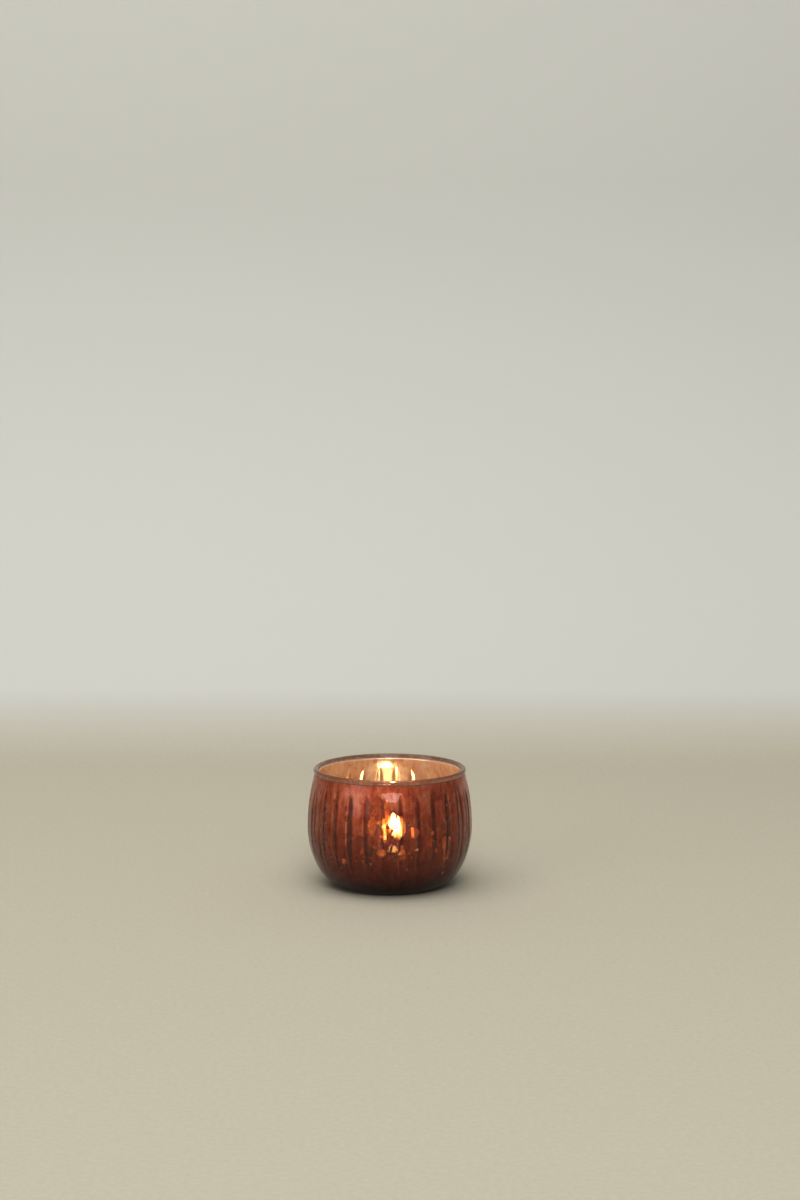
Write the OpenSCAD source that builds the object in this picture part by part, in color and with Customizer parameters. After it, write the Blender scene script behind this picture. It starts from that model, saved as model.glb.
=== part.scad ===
// Tealight holder: a bowl of silvered glass with a tealight standing in it.
// The origin is on the table, on the bowl's axis, with +Z up. All sizes are in millimetres.

/* [Bowl] */
// Diameter at the widest place
bowl_d = 90; // [84:1:98]
// Height to the top of the lip
bowl_h = 65; // [63:0.5:68]
// Height of the widest place
belly_z = 32.5; // [31:0.5:34]
// Thickness of the glass wall
wall_t = 2.3; // [1.8:0.1:2.8]
// Thickness of the glass at the inside floor, over the foot ring
floor_t = 4; // [3.5:0.1:5]
// How far the lip's rounded bead stands out from the wall below it
lip_bead = 0.35; // [0.2:0.05:0.5]
// Rise of the hollow under the foot
foot_hollow = 1.2; // [0.5:0.1:1.8]
// Width of the ring that the bowl stands on
foot_ring_w = 4.5; // [3:0.5:7]

/* [Side curve] */
// Radius of the arc above the widest place
upper_arc_r = 111; // [105:1:120]
// Radius of the arc just below the widest place
belly_arc_r = 48.5; // [46:0.5:52]
// Angle that the belly arc turns through
belly_arc_deg = 23.5; // [21:0.5:26]
// Radius of the arc that leads in to the foot
lower_arc_r = 27; // [25:0.5:30]
// Angle below the horizontal at which the lower arc gives way to the foot's outer corner
foot_corner_deg = 50; // [47:1:54]
// The same for the rounded corner of the inside floor
floor_corner_deg = 45; // [42:1:48]
// Radius of the hollow curve just under the lip
neck_arc_r = 40; // [30:1:60]
// How far below the top of the lip that hollow curve begins
neck_drop = 7.5; // [6:0.5:9]

/* [Silvering] */
// Thickness of the metal lining
silver_t = 0.15; // [0.1:0.05:0.3]
// Width of the bare band of glass between the lining and the top of the lip
bare_band = 2.5; // [2:0.1:4]

/* [Tealight] */
// Diameter of the cup's rolled rim
cup_d = 38; // [37:0.5:40]
// Height of the cup
cup_h = 16; // [14:0.5:20]
// Thickness of the aluminium sheet
cup_t = 0.2; // [0.15:0.05:0.3]
// Thickness of the rolled rim
cup_rim_t = 0.9; // [0.7:0.1:1.2]
// How far the wax lies below the rim
wax_drop = 3.4; // [2:0.1:5]
// Diameter of the wick
wick_d = 1.4; // [1:0.1:1.8]
// Length of wick above the wax
wick_free = 6; // [4:0.5:8]
// Diameter of the sustainer's disc
sustainer_d = 13; // [10:0.5:15]
// Height of the sustainer's neck
sustainer_h = 3.5; // [2.5:0.1:5]

/* [Hidden] */
$fn = 96;
eps = 0.01;

bowl_r = bowl_d / 2;

// The side is a chain of arcs, each tangent to the next. towards(a) points a degrees above the horizontal.
function towards(a) = [cos(a), sin(a)];
upper_c = [bowl_r - upper_arc_r, belly_z];
belly_c = [bowl_r - belly_arc_r, belly_z];
lower_c = belly_c + (belly_arc_r - lower_arc_r) * towards(-belly_arc_deg);

// The hollow arc under the lip takes over from the upper arc at this height
neck_start_z = bowl_h - neck_drop;
neck_deg = asin((neck_start_z - belly_z) / upper_arc_r);
neck_c = upper_c + (upper_arc_r + neck_arc_r) * towards(neck_deg);

// Corner arc that leads from the lower arc, set in by inset, to a flat floor at floor_z
function corner_r(inset, floor_z, deg) =
    (lower_c[1] - (lower_arc_r - inset) * sin(deg) - floor_z) / (1 - sin(deg));
function corner_c(inset, floor_z, deg) =
    lower_c + (lower_arc_r - inset - corner_r(inset, floor_z, deg)) * towards(-deg);

// Points along an arc, about one for every step_deg. The last is left to the arc that follows.
step_deg = 4;
function arc(centre, radius, from, to) =
    let (n = ceil(abs(to - from) / step_deg))
    [for (i = [0 : n - 1]) centre + radius * towards(from + (to - from) * i / n)];

// Angle at which the neck arc, set in by inset, reaches a height
function neck_angle(inset, z) = 180 + asin((neck_c[1] - z) / (neck_arc_r + inset));

// The side from the floor up to top_z, with every arc set in by inset
function side(inset, floor_z, deg, top_z) = concat(
    arc(corner_c(inset, floor_z, deg), corner_r(inset, floor_z, deg), -90, -deg),
    arc(lower_c, lower_arc_r - inset, -deg, -belly_arc_deg),
    arc(belly_c, belly_arc_r - inset, -belly_arc_deg, 0),
    arc(upper_c, upper_arc_r - inset, 0, neck_deg),
    arc(neck_c, neck_arc_r + inset, 180 + neck_deg, neck_angle(inset, top_z)),
    [neck_c + (neck_arc_r + inset) * towards(neck_angle(inset, top_z))]
);
function reversed(points) = [for (i = [len(points) - 1 : -1 : 0]) points[i]];

// Lip bead, a round over the whole wall. It meets the outside lip_deg below its own middle.
lip_r = (wall_t + lip_bead) / 2;
lip_deg = acos(1 - lip_bead / lip_r);
lip_foot_z = bowl_h - lip_r - lip_r * sin(lip_deg);
neck_r = neck_c[0] - sqrt(pow(neck_arc_r, 2) - pow(neck_c[1] - lip_foot_z, 2));
lip_c = [neck_r + lip_bead - lip_r, bowl_h - lip_r];

// Hollow under the foot, a shallow dome inside the ring that the bowl stands on
foot_edge_r = corner_c(0, 0, foot_corner_deg)[0];
foot_hollow_r = foot_edge_r - foot_ring_w;
dome_r = (pow(foot_hollow_r, 2) + pow(foot_hollow, 2)) / (2 * foot_hollow);
dome_deg = asin(foot_hollow_r / dome_r);

silver_top = bowl_h - bare_band;
seat_z = floor_t + silver_t;

// Tealight, measured up from the seat
cup_r = cup_d / 2 - cup_rim_t / 2;
cup_taper = 0.5;
base_bevel = 0.8;
pan_r = 14;
pan_rise = 0.6;
wax_top = cup_h - wax_drop;
sustainer_z = pan_rise + cup_t;
sustainer_t = 0.3;
neck_t = 0.5;

module glass_bowl() {
    color([0.93, 0.81, 0.72, 0.45])
        rotate_extrude()
            polygon(concat(
                arc([0, foot_hollow - dome_r], dome_r, 90, 90 - dome_deg),
                [[foot_hollow_r, 0]],
                side(0, 0, foot_corner_deg, lip_foot_z),
                arc(lip_c, lip_r, -lip_deg + step_deg, 180),
                [lip_c - [lip_r, 0]],
                reversed(side(wall_t, floor_t, floor_corner_deg, lip_foot_z)),
                [[0, floor_t]]
            ));
}

module silvering() {
    color([0.66, 0.34, 0.22])
        rotate_extrude()
            polygon(concat(
                [[0, floor_t]],
                side(wall_t, floor_t, floor_corner_deg, silver_top),
                reversed(side(wall_t + silver_t, seat_z, floor_corner_deg, silver_top)),
                [[0, seat_z]]
            ));
}

// Filled half-outline of the pressed cup, set in by inset: a standing ring round a raised pan
module cup_outline(inset, top_z) {
    bevel_shift = inset * tan(22.5);
    polygon([
        [0, pan_rise + inset],
        [pan_r - pan_rise + bevel_shift, pan_rise + inset],
        [pan_r + bevel_shift, inset],
        [cup_r - cup_taper - base_bevel - bevel_shift, inset],
        [cup_r - cup_taper - inset, base_bevel + bevel_shift],
        [cup_r - inset, cup_h],
        [cup_r - inset, top_z],
        [0, top_z],
    ]);
}

module tealight_cup() {
    color([0.8, 0.8, 0.82])
        translate([0, 0, seat_z])
            rotate_extrude() {
                difference() {
                    cup_outline(0, cup_h - cup_rim_t / 2);
                    cup_outline(cup_t, cup_h + eps);
                }
                translate([cup_r, cup_h - cup_rim_t / 2]) circle(cup_rim_t / 2);
            }
}

module sustainer_blank() {
    cylinder(d = sustainer_d, h = sustainer_t);
    cylinder(d = wick_d + 2 * neck_t, h = sustainer_h);
}

module wax() {
    color([0.95, 0.94, 0.88])
        translate([0, 0, seat_z])
            difference() {
                rotate_extrude()
                    intersection() {
                        cup_outline(cup_t, cup_h + eps);
                        square([cup_r, wax_top]);
                    }
                translate([0, 0, sustainer_z]) sustainer_blank();
                cylinder(d = wick_d, h = cup_h);
            }
}

module wick_sustainer() {
    color([0.7, 0.7, 0.7])
        translate([0, 0, seat_z + sustainer_z])
            difference() {
                sustainer_blank();
                translate([0, 0, -eps]) cylinder(d = wick_d, h = sustainer_h + 2 * eps);
            }
}

module wick() {
    color([0.9, 0.88, 0.8])
        translate([0, 0, seat_z + sustainer_z])
            cylinder(d = wick_d, h = wax_top + wick_free - sustainer_z);
}

glass_bowl();
silvering();
tealight_cup();
wax();
wick_sustainer();
wick();
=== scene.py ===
import math
import random

import bpy
import numpy as np
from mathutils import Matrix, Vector


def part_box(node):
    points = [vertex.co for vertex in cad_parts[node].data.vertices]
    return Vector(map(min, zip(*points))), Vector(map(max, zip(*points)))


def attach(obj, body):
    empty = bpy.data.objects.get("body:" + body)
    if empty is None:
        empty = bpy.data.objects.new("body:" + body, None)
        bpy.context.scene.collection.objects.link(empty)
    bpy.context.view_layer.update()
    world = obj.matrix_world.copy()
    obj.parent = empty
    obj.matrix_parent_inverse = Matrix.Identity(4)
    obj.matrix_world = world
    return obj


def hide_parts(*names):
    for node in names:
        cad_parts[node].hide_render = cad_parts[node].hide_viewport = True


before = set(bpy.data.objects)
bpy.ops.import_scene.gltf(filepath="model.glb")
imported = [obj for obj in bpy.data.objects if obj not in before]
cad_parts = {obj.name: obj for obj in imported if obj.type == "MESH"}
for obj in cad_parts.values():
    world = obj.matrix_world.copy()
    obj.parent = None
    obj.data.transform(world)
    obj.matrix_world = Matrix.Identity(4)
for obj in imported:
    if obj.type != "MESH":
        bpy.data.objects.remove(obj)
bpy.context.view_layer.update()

MM = 0.001

# ---------------------------------------------------------------- sizes, in metres

_, bowl_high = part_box("glass_bowl")
_, film_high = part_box("silvering")
cup_low, cup_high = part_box("tealight_cup")
_, wax_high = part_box("wax")
wick_low, wick_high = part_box("wick")

BOWL_R = bowl_high.x
BOWL_H = bowl_high.z
SEAT_Z = cup_low.z
BARE_TOP = film_high.z

# The bowl's side: a chain of tangent arcs, as the CAD model has it
BELLY_Z = 32.5 * MM
UPPER_ARC = 111 * MM
BELLY_ARC = 48.5 * MM
BELLY_DEG = 23.5
LOWER_ARC = 27 * MM
NECK_ARC = 40 * MM
NECK_DROP = 7.5 * MM
FOOT_CORNER_DEG = 50
FLOOR_CORNER_DEG = 45
WALL = 2.3 * MM
FLOOR_T = 4 * MM
LIP_BEAD = 0.35 * MM
FOOT_HOLLOW = 1.2 * MM
FOOT_RING = 4.5 * MM

# The lining. Its back is sunk into the glass a little, so that no gap shows between them.
FILM_T = SEAT_Z - FLOOR_T
FILM_SINK = 0.03 * MM

# Flutes: upright, lens-shaped grooves outside, with a softer swelling inside
FLUTES = 28
FLUTE_PHASE_DEG = -4.3
FLUTE_TOP = 57.2 * MM
FLUTE_BOTTOM = 6.5 * MM
FLUTE_HALF_W = 2.3 * MM
FLUTE_DEPTH = 0.5 * MM
GROOVE_POWER = 1.3
SWELL_HEIGHT = 0.42 * MM
SWELL_WIDTH_GAIN = 1.05
SWELL_POWER = 1.5

# A flute opens over the first part of its length. It gets shallower over the last part, and its
# width comes down to a fraction.
OPENING_PART = 0.07
RUN_OUT_FROM = 0.5
RUN_OUT_WIDTH = 0.35

# Least half-width of a flute's columns of points, and least radius at which it is measured
NARROWEST = 0.9 * MM
SMALLEST_R = 20 * MM

# Columns across a groove, in half-widths, and columns from its bank to the middle of the land
GROOVE_PLACES = (-1.0, -0.93, -0.75, -0.5, -0.25, 0.0, 0.25, 0.5, 0.75, 0.93, 1.0)
LAND_PLACES = (0.05, 0.14, 0.3, 0.5, 0.72)

# The left bank of a groove, where the lining gets a painted highlight: its middle and half its width, as
# parts of the groove's half-width
BANK_PLACE = -0.93
BANK_HALF_W = 0.35

# Hand-made unevenness: how far the glass strays, and the heights over which it sets in and ends
OUTSIDE_WAVE = 0.05 * MM
INSIDE_WAVE = 0.04 * MM
OUTSIDE_PHASE = 0.4
INSIDE_PHASE = 2.2
WAVE_FROM = 3 * MM
WAVE_SETS_IN = 8 * MM
WAVE_TO = BOWL_H - 2 * MM
WAVE_ENDS = 6 * MM

# The tealight
SHEET = 0.2 * MM
RIM_R = 0.45 * MM
PAN_R = 14 * MM
PAN_RISE = 0.6 * MM
CUP_TAPER = 0.5 * MM
BEVEL = 0.8 * MM
HUB_R = 0.5 * MM
PLEATS = 60
PLEAT_DEPTH = 0.26 * MM
PLEAT_MARGIN = 0.8 * MM
PLEAT_FADE = 1.5 * MM
DENT_DEPTH = 0.08 * MM
TURN_COLUMNS = 360
POOL_DROP = 0.55 * MM
STRANDS = 3
STRAND_TURNS = 5.5
STRAND_R = 0.38 * MM
STRAND_OFFSET = 0.33 * MM
FLAME_BASE = wax_high.z + 3 * MM
FLAME_TOP = FLAME_BASE + 24 * MM


# ---------------------------------------------------------------- meshes

def set_values(piece, label, values):
    """Stores one number at each vertex, for the materials to read."""
    made = piece.data.attributes.new(label, "FLOAT", "POINT")
    made.data.foreach_set("value", np.asarray(values, dtype=float).tolist())


def new_object(name, verts, faces):
    """A smooth-shaded mesh object."""
    mesh = bpy.data.meshes.new(name)
    mesh.from_pydata(verts, [], faces)
    mesh.update()
    mesh.polygons.foreach_set("use_smooth", [True] * len(mesh.polygons))
    made = bpy.data.objects.new(name, mesh)
    bpy.context.scene.collection.objects.link(made)
    return made


def new_piece(name, verts, faces, body, slot_name, *replaced):
    """An object that rides on a body and stands for the named CAD nodes."""
    piece = new_object(name, verts, faces)
    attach(piece, body)
    if replaced:
        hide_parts(*replaced)
    return piece


def grid_faces(rows, cols, start=0):
    """Quads between rows of cols points, closed round each row."""
    faces = []
    for i in range(rows - 1):
        a = start + i * cols
        b = a + cols
        for j in range(cols):
            k = (j + 1) % cols
            faces.append((a + j, a + k, b + k, b + j))
    return faces


def turned(rows_xyz, low_pole, high_pole):
    """Vertices and faces of a closed shape: rows of points round the axis, and a point at each pole."""
    rows, cols = rows_xyz.shape[:2]
    verts = rows_xyz.reshape(-1, 3).tolist() + [low_pole, high_pole]
    low_tip = rows * cols
    high_tip = low_tip + 1
    last = (rows - 1) * cols
    faces = grid_faces(rows, cols)
    faces += [(low_tip, (j + 1) % cols, j) for j in range(cols)]
    faces += [(high_tip, last + j, last + (j + 1) % cols) for j in range(cols)]
    return verts, faces


def smooth(x):
    """An eased step from 0 to 1."""
    x = np.clip(x, 0, 1)
    return x * x * (3 - 2 * x)


def towards(deg):
    return np.array([math.cos(math.radians(deg)), math.sin(math.radians(deg))])


def arc(centre, radius, start, end, steps):
    """Points (r, z) from start to end, in degrees, without the last one."""
    return [centre + radius * towards(start + (end - start) * i / steps) for i in range(steps)]


def across(r_from, r_to, z_from, z_to, steps):
    """Points on a flat or sloping stretch, without the last one."""
    return [
        np.array([r_from + (r_to - r_from) * i / steps, z_from + (z_to - z_from) * i / steps])
        for i in range(steps)
    ]


def chain(points, gap):
    """Straight stretches between corner points, with a point about every gap."""
    made = []
    for (r0, z0), (r1, z1) in zip(points, points[1:]):
        steps = max(1, round(math.hypot(r1 - r0, z1 - z0) / gap))
        made += across(r0, r1, z0, z1, steps)
    return made + [np.array(points[-1])]


# ---------------------------------------------------------------- outline of the bowl

UPPER_C = np.array([BOWL_R - UPPER_ARC, BELLY_Z])
BELLY_C = np.array([BOWL_R - BELLY_ARC, BELLY_Z])
LOWER_C = BELLY_C + (BELLY_ARC - LOWER_ARC) * towards(-BELLY_DEG)
NECK_DEG = math.degrees(math.asin((BOWL_H - NECK_DROP - BELLY_Z) / UPPER_ARC))
NECK_C = UPPER_C + (UPPER_ARC + NECK_ARC) * towards(NECK_DEG)


def side(inset, floor_z, corner_deg, top_z):
    """The bowl's side from its floor up to top_z, with every arc set in by inset."""
    s = math.sin(math.radians(corner_deg))
    corner_r = (LOWER_C[1] - (LOWER_ARC - inset) * s - floor_z) / (1 - s)
    corner_c = LOWER_C + (LOWER_ARC - inset - corner_r) * towards(-corner_deg)
    neck_r = NECK_ARC + inset
    neck_end = 180 + math.degrees(math.asin((NECK_C[1] - top_z) / neck_r))
    return np.array(
        arc(corner_c, corner_r, -90, -corner_deg, steps=14)
        + arc(LOWER_C, LOWER_ARC - inset, -corner_deg, -BELLY_DEG, steps=22)
        + arc(BELLY_C, BELLY_ARC - inset, -BELLY_DEG, 0, steps=26)
        + arc(UPPER_C, UPPER_ARC - inset, 0, NECK_DEG, steps=34)
        + arc(NECK_C, neck_r, 180 + NECK_DEG, neck_end, steps=8)
        + [NECK_C + neck_r * towards(neck_end)]
    )


# ---------------------------------------------------------------- flutes

flute_draw = random.Random(7)
FLUTE_DEGS = [
    FLUTE_PHASE_DEG + k * 360 / FLUTES + flute_draw.uniform(-0.35, 0.35) for k in range(FLUTES)
]
FLUTE_TOPS = [FLUTE_TOP + flute_draw.uniform(-0.9, 0.7) * MM for k in range(FLUTES)]
FLUTE_STRENGTHS = [flute_draw.uniform(0.65, 1.1) for k in range(FLUTES)]
BOLDEST_FLUTE = 26
FLUTE_STRENGTHS[BOLDEST_FLUTE] = 1.35


def flute_size(z, top):
    """Half-width and depth of a flute, as fractions of the largest, at height z."""
    down = (top - z) / (top - FLUTE_BOTTOM)
    opened = np.tanh(np.clip(down, 0, None) / OPENING_PART)
    left = 1 - smooth((down - RUN_OUT_FROM) / (1 - RUN_OUT_FROM))
    return opened * (RUN_OUT_WIDTH + (1 - RUN_OUT_WIDTH) * left), opened * left


def flute_reach(z, r, k, width_gain):
    """Angle from the middle of flute k to its bank, at each height. It never closes up altogether."""
    wide, _ = flute_size(z, FLUTE_TOPS[k])
    return np.maximum(wide * FLUTE_HALF_W * width_gain, NARROWEST) / np.maximum(r, SMALLEST_R)


def flute_columns(z, r, k, width_gain):
    """Columns from flute k's left bank to the next flute's, each as its angle at every height.

    With each comes its angle from the middle of the groove, or None on the land between grooves.
    """
    following = (k + 1) % FLUTES
    here = math.radians(FLUTE_DEGS[k])
    after = math.radians(FLUTE_DEGS[following] + (360 if following == 0 else 0))
    half = flute_reach(z, r, k, width_gain)
    start = here + half
    end = after - flute_reach(z, r, following, width_gain)
    columns = [(here + place * half, place * half) for place in GROOVE_PLACES]
    columns += [(start + (end - start) * place * 0.5, None) for place in LAND_PLACES]
    columns.append(((start + end) / 2, None))
    columns += [(end - (end - start) * place * 0.5, None) for place in reversed(LAND_PLACES)]
    return columns


def unevenness(theta, z, phase):
    """The slow unevenness of glass blown by mouth, from about -1 to 1, absent at foot and lip."""
    wave = (
        np.sin(2 * theta + 1.3 + phase) * np.sin(70 * z + phase)
        + 0.6 * np.sin(5 * theta + 60 * z + 2.1 * phase)
        + 0.4 * np.sin(9 * theta - 110 * z + 0.7 * phase)
    ) / 2
    return wave * smooth((z - WAVE_FROM) / WAVE_SETS_IN) * smooth((WAVE_TO - z) / WAVE_ENDS)


def fluted_rows(outline, depth, width_gain, wave, phase, power):
    """Rows of points from an outline, pushed in by up to depth along each groove.

    With them come how far each point is pushed, and how near it is to a groove's left bank, which sets
    the lining's painted highlight.
    """
    z = outline[:, 1][:, None]
    r = outline[:, 0][:, None]
    cols, pushes, banks = [], [], []
    for k in range(FLUTES):
        wide, deep = flute_size(z, FLUTE_TOPS[k])
        half_w = np.maximum(wide * FLUTE_HALF_W * width_gain, 1e-6)
        for theta, offset in flute_columns(z, r, k, width_gain):
            push = np.zeros_like(z)
            bank = np.zeros_like(z)
            if offset is not None:
                t = offset * np.maximum(r, SMALLEST_R) / half_w
                push = FLUTE_STRENGTHS[k] * depth * deep * np.clip(1 - t * t, 0, 1) ** power
                bank = FLUTE_STRENGTHS[k] * deep * np.clip(1 - np.abs(t - BANK_PLACE) / BANK_HALF_W, 0, 1)
            radius = r - push + wave * unevenness(theta, z, phase)
            x = radius * np.sin(theta)
            y = -radius * np.cos(theta)
            cols.append(np.concatenate([x, y, np.broadcast_to(z, x.shape)], axis=1))
            pushes.append(push[:, 0] / depth)
            banks.append(bank[:, 0])
    return np.stack(cols, axis=1), np.stack(pushes, axis=1), np.stack(banks, axis=1)


def outside_rows(outline):
    rows, _, _ = fluted_rows(outline, FLUTE_DEPTH, 1.0, OUTSIDE_WAVE, OUTSIDE_PHASE, GROOVE_POWER)
    return rows


def inside_rows(outline):
    """Rows, pushes and banks for the inside of the glass, which the lining follows."""
    return fluted_rows(
        outline, SWELL_HEIGHT, SWELL_WIDTH_GAIN, INSIDE_WAVE, INSIDE_PHASE, SWELL_POWER
    )


# ---------------------------------------------------------------- bare spots in the lining

# Larger spots, in mm: degrees round from the front, height, width, height of spot, how clear
BARE_SPOTS = [
    (2.3, 43.8, 5.8, 7.8, 1),
    (8.3, 40.8, 5.2, 10.6, 1),
    (6.2, 37, 6, 5.2, 1),
    (-4.4, 42.1, 3.6, 6.6, 0.85),
    (-6.8, 43, 3, 3, 1),
    (-12.2, 40.8, 4.2, 11.5, 0.82),
    (-10, 50.9, 6.6, 8.6, 0.7),
    (-2, 49.5, 2.6, 11, 0.82),
    (-3, 36, 1.9, 9.5, 0.82),
    (-6.3, 35.3, 2.2, 2.2, 0.8),
    (14.6, 43.3, 1.8, 1.8, 0.8),
    (18.4, 36.7, 5.2, 5.2, 0.76),
    (16, 39.1, 2, 2.2, 0.85),
    (-5.9, 26.4, 5.1, 4.8, 0.66),
    (-7.5, 30, 4.4, 3.6, 0.4),
    (2.3, 28.8, 4.8, 4.5, 0.92),
    (9.2, 25.5, 4.8, 6.6, 0.7),
    (19.5, 27.8, 2.1, 1.9, 0.8),
    (29.5, 31.4, 4.2, 5, 0.6),
    (29.4, 24.7, 3.5, 8, 0.3),
    (42.2, 29.6, 3.6, 8, 0.75),
    (45, 22.2, 3.6, 6.2, 0.82),
    (31.8, 36.1, 1.9, 2.8, 0.8),
    (35, 26.7, 1.1, 1.1, 0.9),
    (47.7, 31.3, 2.2, 2.2, 0.8),
    (-35.3, 20.1, 3.2, 3.4, 0.82),
    (-21.7, 30, 4.6, 8, 0.3),
    (-14.2, 27.3, 3.1, 4.2, 0.25),
    (44.8, 43.9, 2.2, 4.4, 0.66),
    (62, 45, 3.6, 4, 0.62),
]

# Small spots, scattered at random. Every third one is kept near the front.
SMALL_SPOTS = 330
FRONT_HALF_DEG = 50
LOWEST_SPOT = 8
HIGHEST_SPOT = 56
USUAL_SPOT_HEIGHT = 30
SMALLEST_SPOT = 0.25
SPOT_SIZE_RANGE = 1.1

# A spot's mask falls from 1 at half its radius to 0 at one and a half times its radius
SPOT_FADE_END = 1.5


def all_spots():
    """Angle, height, half-width, half-height and clearness of every bare spot."""
    draw = random.Random(23)
    spots = [(math.radians(a), z * MM, w * MM / 2, h * MM / 2, c) for a, z, w, h, c in BARE_SPOTS]
    for i in range(SMALL_SPOTS):
        around = math.pi if i % 3 else math.radians(FRONT_HALF_DEG)
        theta = draw.uniform(-around, around)
        z = draw.triangular(LOWEST_SPOT, HIGHEST_SPOT, USUAL_SPOT_HEIGHT) * MM
        size = (SMALLEST_SPOT + SPOT_SIZE_RANGE * draw.random() ** 3) * MM
        spots.append((theta, z, size, size * draw.uniform(1.0, 1.8), draw.uniform(0.15, 0.7)))
    return spots


def bareness(points):
    """How far each point lies inside a bare spot, and how clear that spot is."""
    theta = np.arctan2(points[:, 0], -points[:, 1])
    radius = np.hypot(points[:, 0], points[:, 1])
    inside = np.zeros(len(points))
    clear = np.zeros(len(points))
    for a, z, half_w, half_h, clearness in all_spots():
        dx = (np.mod(theta - a + math.pi, 2 * math.pi) - math.pi) * radius / half_w
        dz = (points[:, 2] - z) / half_h
        here = np.clip(SPOT_FADE_END - np.hypot(dx, dz), 0, 1)
        clear = np.where(here > inside, clearness, clear)
        inside = np.maximum(inside, here)
    return inside, clear


# ---------------------------------------------------------------- the bowl's glass

# The copper stain on the lip, in degrees round its bead from outside, and its fades
STAIN_FROM_DEG = -100
STAIN_SETS_IN_DEG = 70
STAIN_TO_DEG = 125
STAIN_ENDS_DEG = 30
BEAD_REACH = 1.2

# The lacquer ends just above the lining, and is worn thin over the bare spots
LACQUER_PAST = 0.6 * MM
LACQUER_FADE = 1.2 * MM
SPOT_LACQUER_LOSS = 0.55


def lip_bead():
    """Radius, centre, angle of the lower end and height of the lower end of the round over the wall."""
    radius = (WALL + LIP_BEAD) / 2
    deg = math.degrees(math.acos(1 - LIP_BEAD / radius))
    foot_z = BOWL_H - radius - radius * math.sin(math.radians(deg))
    neck_r = NECK_C[0] - math.sqrt(NECK_ARC**2 - (NECK_C[1] - foot_z) ** 2)
    return radius, np.array([neck_r + LIP_BEAD - radius, BOWL_H - radius]), deg, foot_z


def glass_outlines():
    """The outside, from the middle of the foot over the lip, and the inside, down to the floor."""
    radius, centre, deg, foot_z = lip_bead()
    outer = side(0, 0, FOOT_CORNER_DEG, foot_z)
    hollow_r = outer[0][0] - FOOT_RING
    dome = (hollow_r**2 + FOOT_HOLLOW**2) / (2 * FOOT_HOLLOW)
    dome_deg = math.degrees(math.asin(hollow_r / dome))
    under = arc(np.array([0, FOOT_HOLLOW - dome]), dome, 90, 90 - dome_deg, steps=12)[1:]
    ring = across(hollow_r, outer[0][0], 0, 0, steps=4)
    first_step_deg = 8
    bead = arc(centre, radius, first_step_deg - deg, 180, steps=16)
    bead.append(centre - np.array([radius, 0]))
    outside = np.concatenate([np.array(under + ring), outer, np.array(bead)])
    inner = side(WALL, FLOOR_T, FLOOR_CORNER_DEG, foot_z)
    floor = across(inner[0][0], 0, FLOOR_T, FLOOR_T, steps=9)[1:]
    return outside, np.concatenate([inner[::-1], np.array(floor)])


def lip_stain(points):
    """How strong the stain is at each point. It covers the bead from outside to just over the top."""
    radius, centre, _, _ = lip_bead()
    out = np.hypot(points[:, 0], points[:, 1]) - centre[0]
    deg = np.degrees(np.arctan2(points[:, 2] - centre[1], out))
    strength = smooth((deg - STAIN_FROM_DEG) / STAIN_SETS_IN_DEG)
    strength = strength * smooth((STAIN_TO_DEG - deg) / STAIN_ENDS_DEG)
    return strength * (np.abs(out) < BEAD_REACH * radius) * (points[:, 2] > BARE_TOP)


def lacquer_cover(points, outside_count):
    """How thick the lacquer is at each point. Only the first points, on the outside, have any."""
    coated = np.arange(len(points)) < outside_count
    cover = coated * smooth((BARE_TOP + LACQUER_PAST - points[:, 2]) / LACQUER_FADE)
    inside_spot, _ = bareness(points)
    return cover * (1 - SPOT_LACQUER_LOSS * smooth(inside_spot))


def make_glass():
    outside, inside = glass_outlines()
    rows_out = outside_rows(outside)
    rows_in, _, _ = inside_rows(inside)
    rows = np.concatenate([rows_out, rows_in])
    verts, faces = turned(rows, (0, 0, FOOT_HOLLOW), (0, 0, FLOOR_T))
    glass = new_piece("bowl_glass", verts, faces, "holder", "tinted_glass", "glass_bowl")
    points = np.array(verts)
    set_values(glass, "stain", lip_stain(points))
    set_values(glass, "lacquer", lacquer_cover(points, rows_out.shape[0] * rows_out.shape[1]))
    return glass


# ---------------------------------------------------------------- the silvering

def make_film():
    """The lining: a closed shell whose back lies just inside the glass, and whose face is in the air.

    With it comes 0 for each polygon of the back and 1 for each of the face.
    """
    shells = []
    for inset, floor_z in ((WALL - FILM_SINK, FLOOR_T - FILM_SINK), (WALL + FILM_T, SEAT_Z)):
        wall = side(inset, floor_z, FLOOR_CORNER_DEG, BARE_TOP)
        floor = across(0, wall[0][0], floor_z, floor_z, steps=9)[1:]
        shells.append(np.concatenate([np.array(floor), wall]))
    outline = np.concatenate([shells[0], shells[1][::-1]])
    rows, grooves, banks = inside_rows(outline)
    verts, faces = turned(rows, (0, 0, FLOOR_T - FILM_SINK), (0, 0, SEAT_Z))
    film = new_piece("silver_lining", verts, faces, "holder", "silvering", "silvering")
    inside, clear = bareness(np.array(verts))
    set_values(film, "bare", inside)
    set_values(film, "clear", clear)
    set_values(film, "groove", np.append(grooves.ravel(), (0, 0)))
    set_values(film, "bank", np.append(banks.ravel(), (0, 0)))
    cols = rows.shape[1]
    tags = np.ones(len(film.data.polygons), int)
    tags[: (len(shells[0]) - 1) * cols] = 0
    tags[(len(outline) - 1) * cols : len(outline) * cols] = 0
    return film, tags


# ---------------------------------------------------------------- the tealight

def ring_rows(outline, ripple=None):
    """Rows of points round the axis. ripple(theta, z) is added to the radius."""
    theta = np.arange(TURN_COLUMNS) * 2 * math.pi / TURN_COLUMNS
    outline = np.array(outline)
    radius = outline[:, 0][:, None] + np.zeros((1, TURN_COLUMNS))
    z = outline[:, 1][:, None] + np.zeros((1, TURN_COLUMNS))
    if ripple is not None:
        radius = radius + ripple(theta[None, :], z)
    return np.stack([radius * np.sin(theta), -radius * np.cos(theta), z], axis=2)


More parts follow.
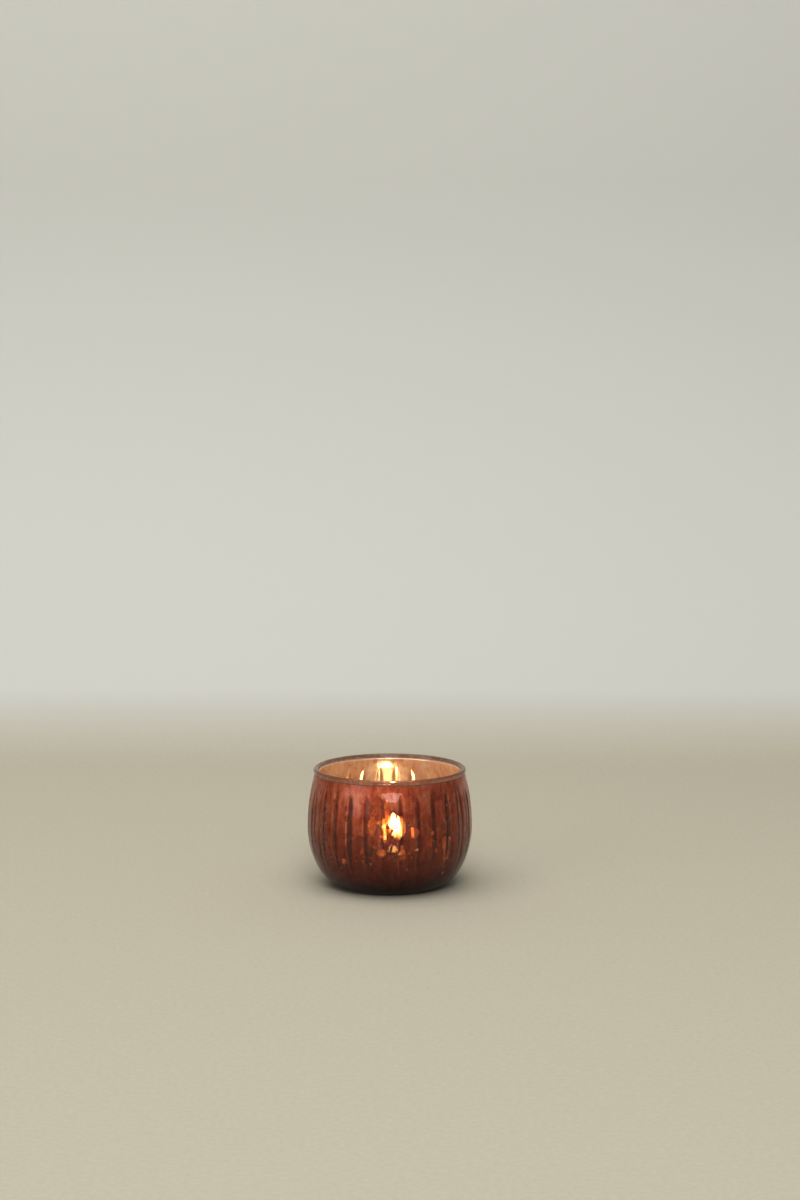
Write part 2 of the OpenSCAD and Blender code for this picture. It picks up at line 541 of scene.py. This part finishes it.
def make_cup():
    """Pressed cup: a pan standing on a ring, a pleated wall and a rolled rim."""
    rim_c = cup_high.x - RIM_R
    rim_z = cup_high.z - RIM_R
    base = cup_low.z
    foot_r = rim_c - CUP_TAPER
    point_gap = 0.7 * MM
    outer = chain(
        [
            (HUB_R, base + PAN_RISE),
            (PAN_R - PAN_RISE, base + PAN_RISE),
            (PAN_R, base),
            (foot_r - BEVEL, base),
            (foot_r, base + BEVEL),
            (rim_c, rim_z - RIM_R),
        ],
        point_gap,
    )
    roll = arc(np.array([rim_c, rim_z]), RIM_R, -80, 180, steps=14)
    inner = chain(
        [
            (rim_c - SHEET, rim_z - RIM_R),
            (foot_r - SHEET, base + BEVEL),
            (foot_r - BEVEL, base + SHEET),
            (PAN_R, base + SHEET),
            (PAN_R - PAN_RISE, base + PAN_RISE + SHEET),
            (HUB_R, base + PAN_RISE + SHEET),
        ],
        point_gap,
    )

    def pleats(theta, z):
        on_wall = smooth((z - base - PLEAT_MARGIN) / PLEAT_FADE)
        on_wall = on_wall * smooth((rim_z - 2 * RIM_R - z) / PLEAT_FADE)
        crest = np.abs(((theta * PLEATS / (2 * math.pi)) % 1) * 2 - 1)
        dent = DENT_DEPTH * np.sin(3 * theta + 1) * on_wall
        return -PLEAT_DEPTH * smooth(crest) * on_wall + dent

    verts, faces = turned(
        ring_rows(outer + roll + inner, pleats),
        (0, 0, base + PAN_RISE),
        (0, 0, base + PAN_RISE + SHEET),
    )
    return new_piece("pleated_cup", verts, faces, "tealight", "cup_aluminium", "tealight_cup")


def wax_surface(edge):
    """The molten pool's outline, from a raised, still solid edge to a rise where it climbs the wick."""
    shelf_from = edge - 2.4 * MM
    shelf_w = 1.4 * MM
    climb_height = 0.7 * MM
    climb_w = 0.55 * MM
    wick_r = 0.7 * MM
    hub = 0.75 * MM
    steps = 60
    outline = []
    for i in range(steps + 1):
        r = edge * (1 - i / steps) ** 0.9 + hub * (i / steps)
        shelf = POOL_DROP * smooth((r - shelf_from) / shelf_w)
        climb = climb_height * math.exp(-((r - wick_r) / climb_w))
        outline.append(np.array([r, wax_high.z - POOL_DROP + shelf + climb]))
    return outline


def make_wax():
    """Wax with a molten pool, whose shore wanders a little."""
    top = wax_high.z
    base = cup_low.z + PAN_RISE + SHEET
    edge = wax_high.x - 0.25 * MM
    point_gap = 1 * MM
    under = [(HUB_R, base), (edge - 1.6 * MM, base), (edge - 0.6 * MM, base + 1 * MM)]
    wall = [(edge - 0.5 * MM, base + 1.2 * MM), (edge, top - 0.5 * MM)]
    rows = ring_rows(chain(under, point_gap) + chain(wall, point_gap) + wax_surface(edge))
    theta = np.arctan2(rows[:, :, 0], -rows[:, :, 1])
    radius = np.hypot(rows[:, :, 0], rows[:, :, 1])
    shore = np.exp(-(((radius - (edge - 1.7 * MM)) / (0.9 * MM)) ** 2))
    on_top = rows[:, :, 2] > top - 0.6 * MM
    rows[:, :, 2] += on_top * shore * 0.12 * MM * np.sin(7 * theta + np.sin(3 * theta) * 2)
    verts, faces = turned(rows, (0, 0, base), (0, 0, top + 0.1 * MM))
    return new_piece("wax_with_pool", verts, faces, "tealight", "wax", "wax")


def wick_axis(t):
    """Middle of the wick at t, from its foot at 0 to its tip at 1. It leans and curls near the tip."""
    lift = wick_high.z - wick_low.z
    lean = max(0.0, t - 0.55) / 0.45
    return Vector((1.6 * MM * lean**1.8, -0.5 * MM * lean**1.5, wick_low.z + lift * t))


def make_wick():
    """Twisted strands, thinner at the tip."""
    verts, faces = [], []
    rings, sides = 90, 12
    for strand in range(STRANDS):
        start = len(verts)
        for i in range(rings):
            t = i / (rings - 1)
            turn = 2 * math.pi * (strand / STRANDS + STRAND_TURNS * t)
            slim = 1 - 0.35 * smooth((t - 0.85) / 0.15)
            middle = wick_axis(t) + Vector((math.cos(turn), math.sin(turn), 0)) * STRAND_OFFSET * slim
            for j in range(sides):
                a = 2 * math.pi * j / sides
                ruffle = 1 + 0.08 * math.sin(5 * a + 40 * t + strand)
                r = STRAND_R * slim * ruffle
                verts.append(tuple(middle + Vector((math.cos(a), math.sin(a), 0)) * r))
        faces += grid_faces(rings, sides, start)
        faces.append([start + j for j in reversed(range(sides))])
        faces.append([start + (rings - 1) * sides + j for j in range(sides)])
    return new_piece("braided_wick", verts, faces, "tealight", "wick_cotton", "wick")


def make_flame(name, low, high, half_w):
    """A leaning teardrop between low and high, which are fractions of the whole flame's height."""
    rings, sides = 48, 40
    height = FLAME_TOP - FLAME_BASE
    rows = np.zeros((rings, sides, 3))
    for i in range(rings):
        t = (i + 0.5) / rings
        u = low + (high - low) * t
        swell = math.sin(math.pi * t**0.72) ** 0.8 * (1 - 0.35 * t)
        middle_x = (1.2 + 0.9 * math.sin(2.2 * u)) * MM
        for j in range(sides):
            a = 2 * math.pi * j / sides
            rows[i, j] = (
                middle_x + half_w * swell * math.sin(a),
                -0.3 * MM - half_w * swell * math.cos(a) * 0.9,
                FLAME_BASE + height * u,
            )
    bottom = (float(rows[0, :, 0].mean()), float(rows[0, :, 1].mean()), FLAME_BASE + height * low)
    peak = (float(rows[-1, :, 0].mean()), float(rows[-1, :, 1].mean()), FLAME_BASE + height * high)
    verts, faces = turned(rows, bottom, peak)
    return new_piece(name, verts, faces, "tealight", "flame")


# ---------------------------------------------------------------- materials

def new_material(name):
    """A material with its node tree and its Principled shader."""
    mat = bpy.data.materials.new(name)
    mat.use_nodes = True
    tree = mat.node_tree
    shader = next(n for n in tree.nodes if n.type == "BSDF_PRINCIPLED")
    return mat, tree, shader


def link(tree, a, b):
    tree.links.new(a, b)


def ramp(tree, source, stops):
    """A colour ramp from (place, colour) pairs."""
    made = tree.nodes.new("ShaderNodeValToRGB")
    elements = made.color_ramp.elements
    while len(elements) > 1:
        elements.remove(elements[-1])
    for i, (place, colour) in enumerate(stops):
        e = elements[0] if i == 0 else elements.new(place)
        e.position = place
        e.color = (*colour, 1)
    link(tree, source, made.inputs[0])
    return made.outputs[0]


def noise_of(tree, vector, scale, detail, roughness, distortion=0.0):
    made = tree.nodes.new("ShaderNodeTexNoise")
    made.inputs["Scale"].default_value = scale
    made.inputs["Detail"].default_value = detail
    made.inputs["Roughness"].default_value = roughness
    made.inputs["Distortion"].default_value = distortion
    link(tree, vector, made.inputs["Vector"])
    return made.outputs["Fac"]


def maths(tree, operation, a, b=None, c=None, clamp=False):
    made = tree.nodes.new("ShaderNodeMath")
    made.operation = operation
    made.use_clamp = clamp
    for socket, value in zip(made.inputs, (a, b, c)):
        if value is None:
            continue
        if isinstance(value, (int, float)):
            socket.default_value = value
        else:
            link(tree, value, socket)
    return made.outputs[0]


def remap(tree, value, low, high, to_low, to_high):
    """The value moved from the range low to high into the range to_low to to_high, and held there."""
    made = tree.nodes.new("ShaderNodeMapRange")
    link(tree, value, made.inputs["Value"])
    for key, v in (("From Min", low), ("From Max", high), ("To Min", to_low), ("To Max", to_high)):
        made.inputs[key].default_value = v
    return made.outputs[0]


def mix_colour(tree, fac, a, b, blend="MIX"):
    made = tree.nodes.new("ShaderNodeMix")
    made.data_type = "RGBA"
    made.blend_type = blend
    colour_inputs = [s for s in made.inputs if s.type == "RGBA"]
    for socket, value in ((made.inputs[0], fac), (colour_inputs[0], a), (colour_inputs[1], b)):
        if isinstance(value, (int, float)):
            socket.default_value = value
        elif isinstance(value, tuple):
            socket.default_value = (*value, 1)
        else:
            link(tree, value, socket)
    return next(s for s in made.outputs if s.type == "RGBA")


def object_coords(tree, scale=(1, 1, 1)):
    coords = tree.nodes.new("ShaderNodeTexCoord")
    if scale == (1, 1, 1):
        return coords.outputs["Object"]
    mapping = tree.nodes.new("ShaderNodeMapping")
    mapping.inputs["Scale"].default_value = scale
    link(tree, coords.outputs["Object"], mapping.inputs["Vector"])
    return mapping.outputs[0]


def bump(tree, shader, height, strength, distance):
    made = tree.nodes.new("ShaderNodeBump")
    made.inputs["Strength"].default_value = strength
    made.inputs["Distance"].default_value = distance
    link(tree, height, made.inputs["Height"])
    link(tree, made.outputs[0], shader.inputs["Normal"])


def read_attribute(tree, label):
    made = tree.nodes.new("ShaderNodeAttribute")
    made.attribute_name = label
    return made.outputs["Fac"]


GLASS_TINT = (0.95, 0.86, 0.79)
LACQUER_TINT = (0.84, 0.49, 0.36)
STAIN_COLOUR = (0.3, 0.115, 0.06)
STAIN_HIDES = 0.45


def glass_material():
    """Glass with a thin clear copper lacquer outside, and a brown, half-clear stain along the lip."""
    mat, tree, shader = new_material("clear_glass")
    shader.inputs["IOR"].default_value = 1.5
    shader.inputs["Specular IOR Level"].default_value = 0.28
    where = object_coords(tree)
    tint = mix_colour(tree, read_attribute(tree, "lacquer"), GLASS_TINT, LACQUER_TINT)
    patchy = remap(tree, noise_of(tree, where, scale=500, detail=4, roughness=0.6), 0.3, 0.7, 0.8, 1.15)
    stain = maths(tree, "MULTIPLY", read_attribute(tree, "stain"), patchy, clamp=True)
    link(tree, mix_colour(tree, stain, tint, STAIN_COLOUR), shader.inputs["Base Color"])
    opaque = maths(tree, "MULTIPLY", stain, -STAIN_HIDES)
    link(tree, maths(tree, "ADD", opaque, 1.0), shader.inputs["Transmission Weight"])
    smear = noise_of(tree, where, scale=45, detail=4, roughness=0.55)
    link(tree, remap(tree, smear, 0.35, 0.7, 0.03, 0.1), shader.inputs["Roughness"])
    seeds = noise_of(tree, object_coords(tree, (1, 1, 0.35)), scale=240, detail=2, roughness=0.5)
    bump(tree, shader, seeds, 0.1, 0.4 * MM)
    return mat


def film_mask(tree, where):
    """How much light the film lets through: ragged bare spots, from the mesh and fine noise."""
    ragged = noise_of(tree, where, scale=900, detail=4, roughness=0.6)
    fine = noise_of(tree, where, scale=2600, detail=2, roughness=0.5)
    bare = maths(tree, "ADD", read_attribute(tree, "bare"), remap(tree, ragged, 0.3, 0.7, -0.26, 0.26))
    bare = maths(tree, "ADD", bare, remap(tree, fine, 0.3, 0.7, -0.08, 0.08))
    edge = remap(tree, bare, 0.3, 0.6, 0.0, 1.0)
    veil = remap(tree, noise_of(tree, where, scale=420, detail=4, roughness=0.6), 0.35, 0.65, 0.75, 1.15)
    clear = maths(tree, "MULTIPLY", read_attribute(tree, "clear"), veil, clamp=True)
    clear = maths(tree, "MAXIMUM", clear, remap(tree, read_attribute(tree, "clear"), 0.8, 0.9, 0.0, 0.95))
    return maths(tree, "MULTIPLY", edge, clear)


# Tone of the dull ring round a bare spot, tint of the light through a bare spot, and the share of
# light that comes through the film elsewhere
RING_TONE = (0.3, 0.22, 0.2)
CLEAR_TINT = (1.0, 0.9, 0.75)
FILM_LEAK = 0.02

# Mottling from dark to bright, and painted shade from the floor at 0 to the top edge at 1: darker towards
# the floor, and on the copper side a painted shadow line at the top edge, under the lip
COPPER_TONES = ((0.5, 0.13, 0.055), (0.84, 0.34, 0.19), (1.0, 0.66, 0.5))
COPPER_PAINTED_SHADE = (
    (0.0, (0.15, 0.08, 0.05)),
    (0.2, (0.33, 0.2, 0.15)),
    (0.45, (0.6, 0.47, 0.42)),
    (0.68, (0.84, 0.78, 0.75)),
    (0.85, (1.0, 1.0, 1.0)),
    (0.985, (1.0, 1.0, 1.0)),
    (1.0, (0.25, 0.25, 0.25)),
)
GOLD_TONES = ((0.8, 0.47, 0.27), (0.97, 0.66, 0.43), (1.0, 0.84, 0.62))
GOLD_PAINTED_SHADE = ((0.0, (0.7, 0.7, 0.7)), (1.0, (1.0, 1.0, 1.0)))


def film_material(name, tones, thin_tint, rough, metallic, shade, groove_painted_shade, bank_painted_highlight):
    """A mottled metal film. Bare spots let tinted light through, grooves are darker with painted shade,
    and the left banks of the grooves get a painted highlight.

    tones run from dark to bright mottling. shade multiplies them: painted shade from the floor to the top
    edge.
    """
    mat, tree, shader = new_material(name)
    where = object_coords(tree)
    cloud = noise_of(tree, where, scale=130, detail=6, roughness=0.65, distortion=0.4)
    streak = noise_of(tree, object_coords(tree, (1, 1, 0.16)), scale=420, detail=5, roughness=0.65)
    mottle = maths(tree, "MULTIPLY_ADD", streak, 0.4, maths(tree, "MULTIPLY", cloud, 0.6))
    colour = ramp(tree, mottle, list(zip((0.36, 0.5, 0.64), tones)))
    specks = tree.nodes.new("ShaderNodeTexVoronoi")
    specks.inputs["Scale"].default_value = 620
    link(tree, where, specks.inputs["Vector"])
    dots = remap(tree, specks.outputs["Distance"], 0.05, 0.24, 0.35, 1.0)
    dots = maths(tree, "MAXIMUM", dots, remap(tree, streak, 0.44, 0.56, 0.0, 1.0))
    colour = mix_colour(tree, 1.0, colour, dots, "MULTIPLY")
    split = tree.nodes.new("ShaderNodeSeparateXYZ")
    link(tree, where, split.inputs[0])
    up = remap(tree, split.outputs["Z"], SEAT_Z, BARE_TOP, 0.0, 1.0)
    # Painted shade: darker towards the floor, and on the copper side a painted shadow line at the top
    # edge
    colour = mix_colour(tree, 1.0, colour, ramp(tree, up, shade), "MULTIPLY")
    # Painted shade in the grooves: the lining is darker where it sinks into a flute
    groove = remap(tree, read_attribute(tree, "groove"), 0.25, 0.85, 0.0, 1.0)
    colour = mix_colour(tree, groove, colour, mix_colour(tree, 1.0, colour, groove_painted_shade, "MULTIPLY"))
    # Painted highlight along the left bank of each groove, broken up by the streaks
    bank = maths(tree, "MULTIPLY", read_attribute(tree, "bank"), remap(tree, streak, 0.4, 0.6, 0.1, 0.7))
    colour = mix_colour(tree, bank, colour, bank_painted_highlight)
    bare = read_attribute(tree, "bare")
    ring_strength = remap(tree, cloud, 0.42, 0.6, 0.0, 0.75)
    ring = maths(tree, "MULTIPLY", remap(tree, bare, 0.0, 0.2, 0.0, 1.0), ring_strength)
    colour = mix_colour(tree, ring, colour, mix_colour(tree, 1.0, colour, RING_TONE, "MULTIPLY"))
    link(tree, colour, shader.inputs["Base Color"])
    shader.inputs["Metallic"].default_value = metallic
    link(tree, remap(tree, cloud, 0.3, 0.7, *rough), shader.inputs["Roughness"])
    grain = noise_of(tree, where, scale=1500, detail=3, roughness=0.6)
    bump(tree, shader, maths(tree, "ADD", grain, mottle), 0.1, 0.15 * MM)
    mask = maths(tree, "MAXIMUM", film_mask(tree, where), FILM_LEAK)
    tint = mix_colour(tree, remap(tree, mask, 0.6, 1.0, 0.0, 1.0), thin_tint, CLEAR_TINT)
    clear = tree.nodes.new("ShaderNodeBsdfTransparent")
    link(tree, tint, clear.inputs[0])
    mixer = tree.nodes.new("ShaderNodeMixShader")
    link(tree, mask, mixer.inputs[0])
    link(tree, shader.outputs[0], mixer.inputs[1])
    link(tree, clear.outputs[0], mixer.inputs[2])
    output = next(n for n in tree.nodes if n.type == "OUTPUT_MATERIAL")
    link(tree, mixer.outputs[0], output.inputs[0])
    return mat


def metal_material(name, colour, roughness, grain_scale):
    """Thin rolled sheet, with faint upright lines."""
    mat, tree, shader = new_material(name)
    where = object_coords(tree, (1, 1, 0.12))
    grain = noise_of(tree, where, scale=grain_scale, detail=3, roughness=0.5)
    tone = [tuple(c * k for c in colour) for k in (0.86, 1.0)]
    link(tree, ramp(tree, grain, [(0.3, tone[0]), (0.7, tone[1])]), shader.inputs["Base Color"])
    shader.inputs["Metallic"].default_value = 1
    spread = remap(tree, grain, 0.3, 0.7, roughness * 0.8, roughness * 1.3)
    link(tree, spread, shader.inputs["Roughness"])
    bump(tree, shader, grain, 0.05, 0.05 * MM)
    return mat


POOL_R = 15.3 * MM
SHORE_W = 0.8 * MM


def wax_material():
    """White solid wax round the edge, and a clearer, glossy pool of molten wax inside it."""
    mat, tree, shader = new_material("paraffin")
    where = object_coords(tree)
    cloud = noise_of(tree, where, scale=160, detail=4, roughness=0.55)
    solid = ramp(tree, cloud, [(0.3, (0.86, 0.83, 0.76)), (0.7, (0.95, 0.93, 0.88))])
    spread = tree.nodes.new("ShaderNodeVectorMath")
    spread.operation = "LENGTH"
    link(tree, object_coords(tree, (1, 1, 0)), spread.inputs[0])
    wander = noise_of(tree, where, scale=130, detail=2, roughness=0.5)
    wobble = remap(tree, wander, 0.3, 0.7, -0.8 * MM, 0.8 * MM)
    outward = maths(tree, "ADD", spread.outputs["Value"], wobble)
    edge = remap(tree, outward, POOL_R, POOL_R + SHORE_W, 0.0, 1.0)
    link(tree, mix_colour(tree, edge, (0.72, 0.6, 0.4), solid), shader.inputs["Base Color"])
    shader.inputs["Subsurface Weight"].default_value = 0.6
    shader.inputs["Subsurface Radius"].default_value = (1.0, 0.7, 0.45)
    shader.inputs["Subsurface Scale"].default_value = 3 * MM
    link(tree, remap(tree, edge, 0.0, 1.0, 0.03, 0.45), shader.inputs["Roughness"])
    bump(tree, shader, maths(tree, "MULTIPLY", edge, cloud), 0.2, 0.3 * MM)
    return mat


def wick_material():
    mat, tree, shader = new_material("charred_cotton")
    where = object_coords(tree)
    split = tree.nodes.new("ShaderNodeSeparateXYZ")
    link(tree, where, split.inputs[0])
    wobble = noise_of(tree, where, scale=700, detail=3, roughness=0.6)
    height = maths(tree, "MULTIPLY_ADD", wobble, 2.0 * MM, split.outputs["Z"])
    char_from = wax_high.z + 0.5 * MM
    up = remap(tree, height, char_from, char_from + 3.5 * MM, 0, 1)
    stops = [(0.0, (0.62, 0.5, 0.32)), (0.35, (0.12, 0.07, 0.04)), (0.8, (0.015, 0.012, 0.01))]
    link(tree, ramp(tree, up, stops), shader.inputs["Base Color"])
    shader.inputs["Roughness"].default_value = 0.85
    fibre = noise_of(tree, object_coords(tree, (1, 1, 0.3)), scale=5000, detail=2, roughness=0.5)
    bump(tree, shader, fibre, 0.5, 0.1 * MM)
    tip = wick_high.z
    ember = remap(tree, height, tip - 0.8 * MM, tip + 0.6 * MM, 0, 2.5)
    shader.inputs["Emission Color"].default_value = (1.0, 0.22, 0.04, 1)
    link(tree, ember, shader.inputs["Emission Strength"])
    return mat


BLUE = (0.08, 0.16, 0.6)
AMBER = (1.0, 0.4, 0.09)
YELLOW = (1.0, 0.68, 0.28)
WHITE_HOT = (1.0, 0.84, 0.55)

# Layers of the flame, from the outside in: name, lower and upper end as fractions of the flame's
# height, half-width, glow and thickness. Glow is place, colour and strength, and thickness is place
# and alpha, with places up the whole flame.
FLAME_LAYERS = (
    (
        "flame_mantle",
        0.0,
        1.0,
        4.1 * MM,
        ((0.0, BLUE, 5), (0.3, BLUE, 3), (0.5, AMBER, 2), (0.9, AMBER, 1.6), (1.0, AMBER, 1.2)),
        ((0.0, 0.04), (0.3, 0.02), (0.5, 0.12), (0.9, 0.2), (1.0, 0.08)),
    ),
    (
        "flame_body",
        0.12,
        0.93,
        3.3 * MM,
        (
            (0.0, BLUE, 0.2),
            (0.2, AMBER, 3),
            (0.36, YELLOW, 9),
            (0.56, YELLOW, 15),
            (0.85, YELLOW, 22),
            (1.0, AMBER, 9),
        ),
        ((0.0, 0.01), (0.18, 0.03), (0.34, 0.28), (0.52, 0.5), (0.8, 0.6), (1.0, 0.2)),
    ),
    (
        "flame_core",
        0.28,
        0.84,
        2.3 * MM,
        (
            (0.0, AMBER, 0.3),
            (0.28, AMBER, 3),
            (0.42, WHITE_HOT, 24),
            (0.56, WHITE_HOT, 70),
            (0.85, WHITE_HOT, 95),
            (1.0, YELLOW, 50),
        ),
        ((0.0, 0.01), (0.28, 0.05), (0.42, 0.5), (0.56, 0.9), (0.8, 0.9), (1.0, 0.4)),
    ),
)


def flame_material(name, glow, thickness):
    """Glow and density that change with height: a dim blue foot, a bright body and a soft tip."""
    mat, tree, shader = new_material(name)
    split = tree.nodes.new("ShaderNodeSeparateXYZ")
    link(tree, object_coords(tree), split.inputs[0])
    up = remap(tree, split.outputs["Z"], FLAME_BASE, FLAME_TOP, 0, 1)
    shader.inputs["Base Color"].default_value = (0, 0, 0, 1)
    shader.inputs["Specular IOR Level"].default_value = 0
    shader.inputs["Roughness"].default_value = 1
    colours = [(place, colour) for place, colour, _ in glow]
    link(tree, ramp(tree, up, colours), shader.inputs["Emission Color"])
    brightest = max(strength for _, _, strength in glow)
    levels = [(place, (strength / brightest,) * 3) for place, _, strength in glow]
    power = maths(tree, "MULTIPLY", ramp(tree, up, levels), brightest)
    link(tree, power, shader.inputs["Emission Strength"])
    stops = [(place, (amount,) * 3) for place, amount in thickness]
    link(tree, ramp(tree, up, stops), shader.inputs["Alpha"])
    return mat


# ---------------------------------------------------------------- stage

STAGE_HALF_W = 6.0
STAGE_FRONT = -9.0
STAGE_BACK = 0.34
STAGE_BEND = 0.42
STAGE_TOP = 2.5
BEND_STEPS = 16
BACKDROP_COLOUR = (0.61, 0.61, 0.575)


def make_stage():
    """A warm floor that curves up into a pale backdrop."""
    outline = [(STAGE_FRONT, 0.0), (STAGE_BACK, 0.0)]
    for i in range(1, BEND_STEPS + 1):
        a = math.radians(90 * i / BEND_STEPS)
        outline.append((STAGE_BACK + STAGE_BEND * math.sin(a), STAGE_BEND * (1 - math.cos(a))))
    outline.append((STAGE_BACK + STAGE_BEND, STAGE_TOP))
    verts = [(x, y, z) for y, z in outline for x in (-STAGE_HALF_W, STAGE_HALF_W)]
    faces = [(2 * i, 2 * i + 1, 2 * i + 3, 2 * i + 2) for i in range(len(outline) - 1)]
    floor = new_object("floor", verts, faces)
    mat, tree, shader = new_material("pale_floor")
    where = object_coords(tree)
    grain = noise_of(tree, where, scale=400, detail=3, roughness=0.5)
    warm = ramp(tree, grain, [(0.3, (0.49, 0.455, 0.37)), (0.7, (0.52, 0.485, 0.395))])
    split = tree.nodes.new("ShaderNodeSeparateXYZ")
    link(tree, where, split.inputs[0])
    rise = remap(tree, split.outputs["Z"], 0.0, 0.03, 0.0, 1.0)
    colour = mix_colour(tree, rise, warm, BACKDROP_COLOUR)
    link(tree, colour, shader.inputs["Base Color"])
    shader.inputs["Roughness"].default_value = 0.9
    shader.inputs["Specular IOR Level"].default_value = 0.2
    floor.data.materials.append(mat)


# Name, place, where it points, width, height, power in watts and colour
LIGHTS = (
    ("overhead", (-0.2, -0.35, 1.8), (0, 0, 0), 2.4, 1.9, 24, (1.0, 0.99, 0.96)),
    ("window", (0.1, -2.0, 1.5), (0, 0, 0.06), 1.1, 0.7, 17, (0.97, 0.98, 1.0)),
    ("strip", (0.15, -2.4, 0.6), (0, 0, 0.06), 1.4, 0.2, 3.2, (1.0, 0.98, 0.96)),
    ("side", (-1.8, -1.5, 0.65), (0, 0, 0.05), 2.0, 1.3, 9, (1.0, 0.98, 0.95)),
)


def soft_light(name, place, target, width, height, power, colour):
    data = bpy.data.lights.new(name, "AREA")
    data.shape = "ELLIPSE"
    data.size, data.size_y = width, height
    data.energy = power
    data.color = colour
    light = bpy.data.objects.new(name, data)
    bpy.context.scene.collection.objects.link(light)
    light.location = place
    light.rotation_euler = (Vector(target) - Vector(place)).to_track_quat("-Z", "Y").to_euler()


SKY_COLOUR = (0.97, 0.98, 1.0)
SKY_STRENGTH = 0.35


def make_world():
    world = bpy.data.worlds.new("studio")
    world.use_nodes = True
    tree = world.node_tree
    background = next(n for n in tree.nodes if n.type == "BACKGROUND")
    background.inputs[0].default_value = (*SKY_COLOUR, 1)
    background.inputs[1].default_value = SKY_STRENGTH
    bpy.context.scene.world = world


# The camera, in metres and degrees, and its lens in mm
CAMERA_BACK = 1.2921
CAMERA_RIGHT = 0.0056
CAMERA_HEIGHT = 0.3102
CAMERA_DOWN_DEG = 6.77
CAMERA_LENS = 72


def make_camera():
    data = bpy.data.cameras.new("camera")
    data.lens = CAMERA_LENS
    data.sensor_width = 36
    data.clip_start = 0.01
    camera = bpy.data.objects.new("camera", data)
    bpy.context.scene.collection.objects.link(camera)
    camera.location = (CAMERA_RIGHT, -CAMERA_BACK, CAMERA_HEIGHT)
    camera.rotation_euler = (math.radians(90 - CAMERA_DOWN_DEG), 0, 0)
    bpy.context.scene.camera = camera


# ---------------------------------------------------------------- build

glass = make_glass()
glass.data.materials.append(glass_material())

film, film_tags = make_film()
film.data.materials.append(
    film_material(
        "copper_back",
        COPPER_TONES,
        thin_tint=(1.0, 0.58, 0.4),
        rough=(0.34, 0.52),
        metallic=1.0,
        # painted shade: darker and redder towards the floor, and a painted shadow line at the top edge,
        # under the lip
        shade=COPPER_PAINTED_SHADE,
        # painted shade in the grooves
        groove_painted_shade=(0.5, 0.4, 0.36),
        # painted highlight on the grooves' left banks
        bank_painted_highlight=(0.98, 0.6, 0.42),
    )
)
film.data.materials.append(
    film_material(
        "gold_face",
        GOLD_TONES,
        thin_tint=(1.0, 0.75, 0.5),
        rough=(0.06, 0.2),
        metallic=0.5,
        # painted shade: darker towards the floor
        shade=GOLD_PAINTED_SHADE,
        # painted shade in the grooves
        groove_painted_shade=(0.8, 0.7, 0.6),
        # painted highlight on the grooves' left banks
        bank_painted_highlight=(1.0, 0.85, 0.66),
    )
)
film.data.polygons.foreach_set("material_index", film_tags.tolist())

cup = make_cup()
cup.data.materials.append(metal_material("rolled_aluminium", (0.86, 0.86, 0.87), 0.24, 900))
wax = make_wax()
wax.data.materials.append(wax_material())
wick = make_wick()
wick.data.materials.append(wick_material())

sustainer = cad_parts["wick_sustainer"]
sustainer.data.materials.clear()
sustainer.data.materials.append(metal_material("tinned_steel", (0.7, 0.7, 0.69), 0.32, 1200))

for name, low, high, half_w, glow, thickness in FLAME_LAYERS:
    layer = make_flame(name, low, high, half_w)
    layer.data.materials.append(flame_material(name, glow, thickness))

make_stage()
make_world()
for light in LIGHTS:
    soft_light(*light)
make_camera()
bpy.context.scene.view_settings.view_transform = "Standard"
bpy.context.scene.view_settings.gamma = 0.82
